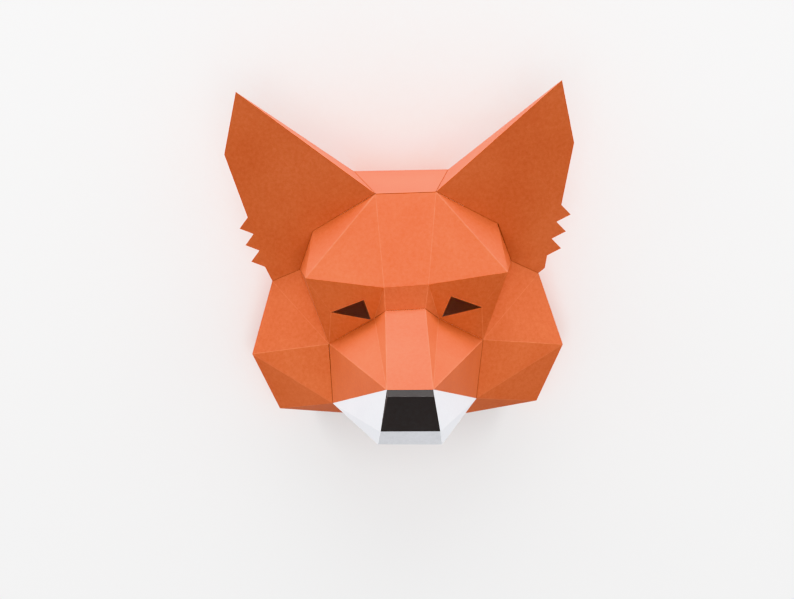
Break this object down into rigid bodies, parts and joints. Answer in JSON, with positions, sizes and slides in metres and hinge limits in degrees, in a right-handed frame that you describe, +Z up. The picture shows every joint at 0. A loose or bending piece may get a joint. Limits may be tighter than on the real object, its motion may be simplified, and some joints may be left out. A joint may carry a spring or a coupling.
{
  "type": "paper fox mask",
  "caption": "Low-poly fox head mask of folded card, with tall fringed ears, eye holes and a pointed muzzle, open at the back and below for the wearer's head.",
  "frame": {"origin": "on the table under the middle of the mask's box", "axes": "the mask lies on its back: +Z up out of the face, +Y from the chin to the ears, X across the face"},
  "size_m": [0.338, 0.335, 0.216],
  "materials": {
    "orange_card": "matt, fine grain",
    "white_card": "matt, fine grain",
    "black_card": "matt, fine grain"
  },
  "bodies": {
    "root": {"crown": "orange_card", "forehead": "orange_card", "eye_band": "orange_card", "muzzle": "orange_card", "nose": "black_card", "jaw": "white_card", "cheek_left": "orange_card", "cheek_right": "orange_card", "ear_front_left": "orange_card", "ear_front_right": "orange_card", "ear_back_left": "orange_card", "ear_back_right": "orange_card", "side_left": "orange_card", "side_right": "orange_card"}
  },
  "joints": []
}
